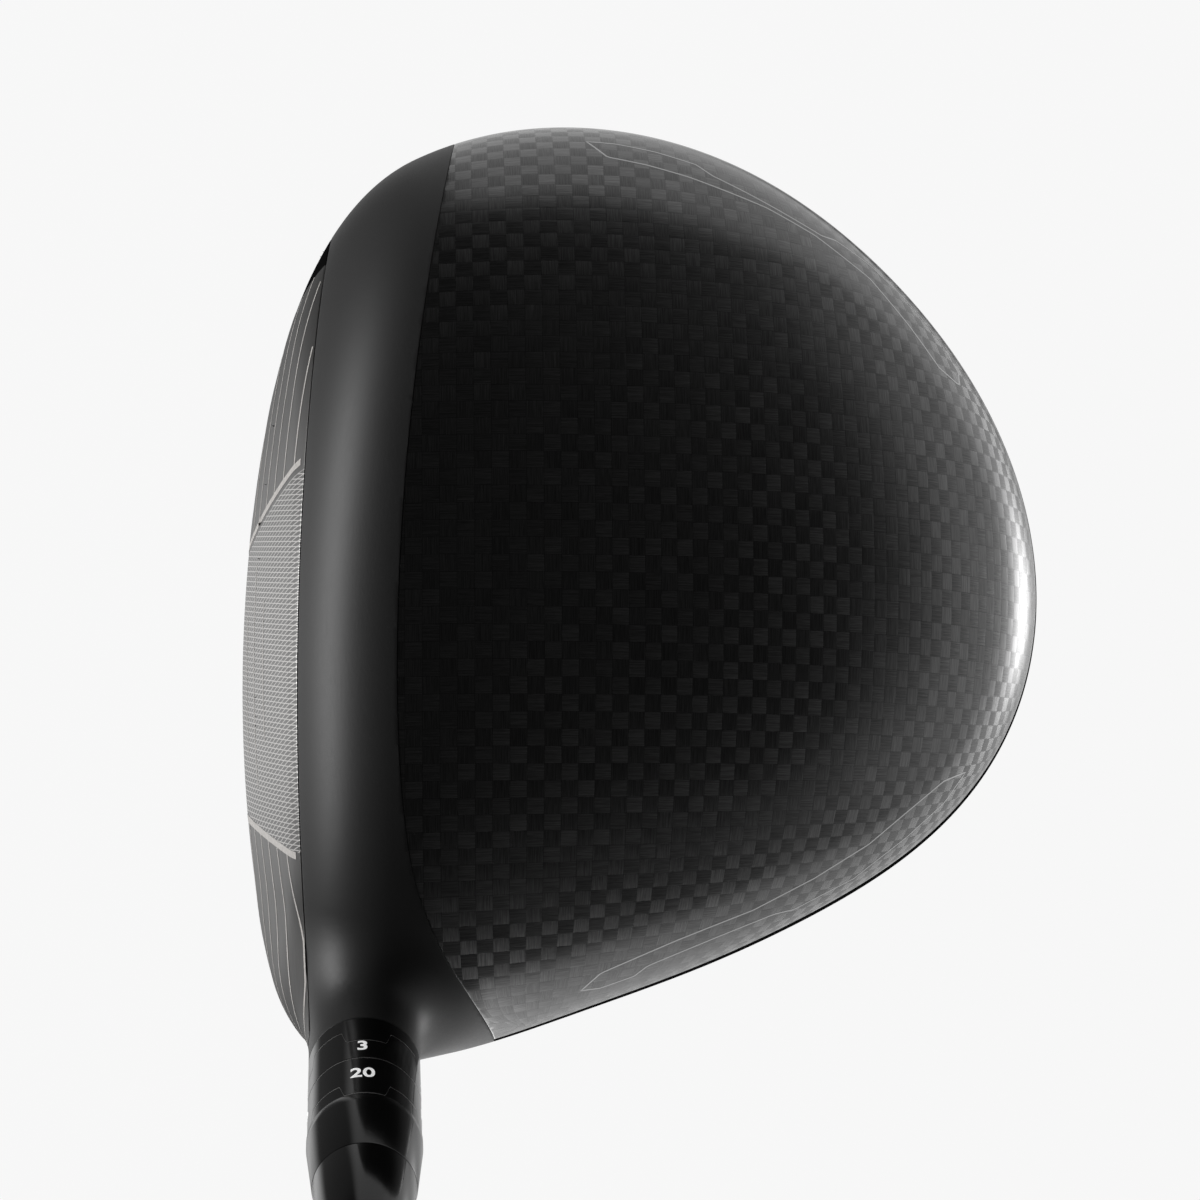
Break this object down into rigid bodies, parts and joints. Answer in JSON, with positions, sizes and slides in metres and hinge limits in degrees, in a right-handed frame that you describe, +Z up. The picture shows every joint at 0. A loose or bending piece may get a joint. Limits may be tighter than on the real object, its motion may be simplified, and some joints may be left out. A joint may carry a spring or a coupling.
{
  "type": "golf driver",
  "caption": "Golf driver with a hollow pear-shaped head, carbon crown, adjustable hosel rings, tapered graphite shaft and rubber grip.",
  "frame": {"origin": "point where the shaft axis meets the ground with the club soled at address", "axes": "+X from toe to heel, +Y from the face to the back, +Z up from the ground; the shaft rises towards +X at 58 degrees"},
  "size_m": [0.7138, 0.1046, 0.9856],
  "materials": {
    "charcoal_titanium": "matte charcoal coat over cast titanium",
    "satin_titanium": "satin milled titanium with fine etched hatching",
    "carbon_clear": "plain weave carbon fibre laminate under gloss clear coat",
    "satin_alloy": "satin dark alloy",
    "tungsten": "turned tungsten alloy",
    "screw_steel": "machined steel",
    "black_anodised": "gloss black anodised aluminium with white engraved marks",
    "ferrule_plastic": "polished black cellulose",
    "shaft_graphite": "painted wound carbon fibre",
    "nylon": "moulded nylon",
    "tape": "woven double-sided tape",
    "grip_rubber": "textured black rubber with pale grooves"
  },
  "bodies": {
    "shaft_assembly": {"shaft": "shaft_graphite", "tip_plug": "nylon", "adapter_sleeve": "black_anodised", "ring_clip": "screw_steel", "ferrule": "ferrule_plastic", "grip_tape": "tape", "grip": "grip_rubber", "grip_cap": "grip_rubber"},
    "lie_ring": {"lie_ring": "black_anodised"},
    "loft_ring": {"loft_ring": "black_anodised"},
    "head": {"front_body": "charcoal_titanium", "face_plate": "satin_titanium", "crown_panel": "carbon_clear", "skirt_ring": "charcoal_titanium", "sole_spine": "satin_alloy", "sole_panel_toe": "carbon_clear", "sole_panel_heel": "carbon_clear", "screw_washer": "screw_steel"},
    "hosel_screw": {"hosel_screw": "screw_steel"},
    "rear_weight": {"rear_weight": "tungsten"},
    "rear_weight_screw": {"rear_weight_screw": "screw_steel"}
  },
  "joints": [
    {"name": "lie_ring_turn", "type": "hinge", "parent": "shaft_assembly", "child": "lie_ring", "pos_m": [0.03445, 0, 0.05512], "axis": [0.5299, 0, 0.848], "continuous": true},
    {"name": "loft_ring_turn", "type": "hinge", "parent": "shaft_assembly", "child": "loft_ring", "pos_m": [0.03948, 0, 0.06318], "axis": [0.5299, 0, 0.848], "continuous": true},
    {"name": "head_release", "type": "slide", "parent": "shaft_assembly", "child": "head", "axis": [-0.5299, 0, -0.848], "range_m": [0, 0.0096]},
    {"name": "hosel_screw_turn", "type": "hinge", "parent": "head", "child": "hosel_screw", "pos_m": [0.00795, 0, 0.01272], "axis": [-0.5299, 0, -0.848], "range_deg": [0, 4321]},
    {"name": "weight_release", "type": "slide", "parent": "head", "child": "rear_weight", "axis": [0, 0.5446, -0.8387], "range_m": [0, 0.0063]},
    {"name": "weight_screw_turn", "type": "hinge", "parent": "rear_weight", "child": "rear_weight_screw", "pos_m": [-0.03, 0.0656, 0.00318], "axis": [0, 0.5446, -0.8387], "range_deg": [0, 3241]}
  ],
  "couplings": [
    {"joint": "hosel_screw_turn", "follows": "head_release", "rad_per_m": 7854},
    {"joint": "weight_screw_turn", "follows": "weight_release", "rad_per_m": 8976}
  ]
}
